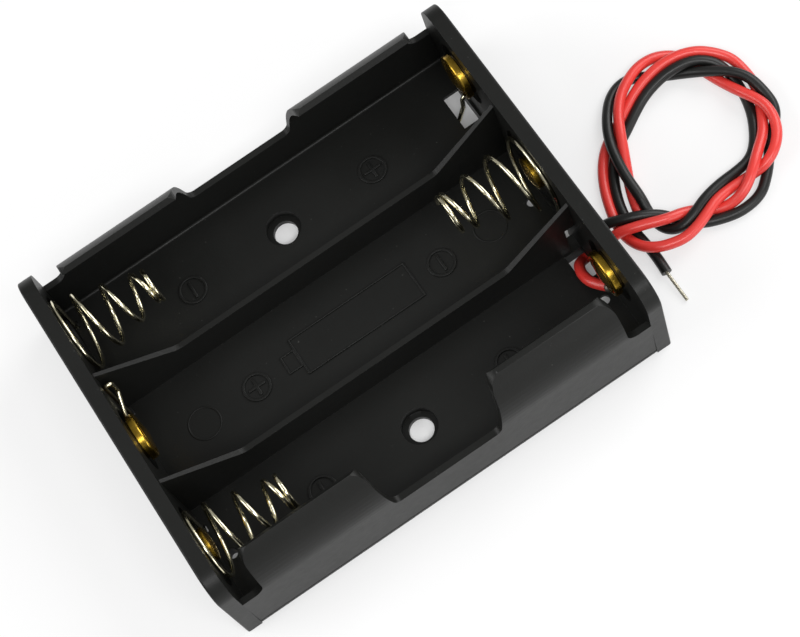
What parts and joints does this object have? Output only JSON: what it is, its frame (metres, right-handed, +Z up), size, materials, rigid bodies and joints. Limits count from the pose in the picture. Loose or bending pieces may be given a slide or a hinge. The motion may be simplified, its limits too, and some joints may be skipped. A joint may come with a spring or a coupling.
{
  "type": "cylindrical cell holder",
  "caption": "Flat open tray that holds cylindrical cells side by side, with coil spring and cap contacts, screw holes in the floor and a twisted lead pair.",
  "frame": {"origin": "centre of the tray's flat base", "axes": "+X along the cells towards the end where the leads come out, +Z up out of the open side, +Y across the bays"},
  "size_m": [0.085, 0.0464, 0.0157],
  "materials": {
    "black_plastic": "satin moulded black plastic",
    "brass": "bright stamped brass",
    "plated_wire": "bright plated spring wire",
    "solder": "dull solder",
    "black_sleeve": "smooth flexible sleeve",
    "red_sleeve": "smooth flexible sleeve",
    "tinned_copper": "twisted tinned strands"
  },
  "bodies": {
    "root": {"holder_body": "black_plastic", "cap_1": "brass", "cap_2": "brass", "cap_3": "brass", "stud_2": "brass", "stud_3": "brass", "spring_1": "plated_wire", "spring_2_link": "plated_wire", "spring_3_link": "plated_wire", "cap_3_ring": "plated_wire", "solder_black": "solder", "solder_red": "solder", "black_lead_inner": "black_sleeve", "red_lead_inner": "red_sleeve", "black_lead": "black_sleeve", "red_lead": "red_sleeve", "lead_coil": "red_sleeve", "black_lead_tail": "black_sleeve", "black_bare_end": "tinned_copper"}
  },
  "joints": []
}
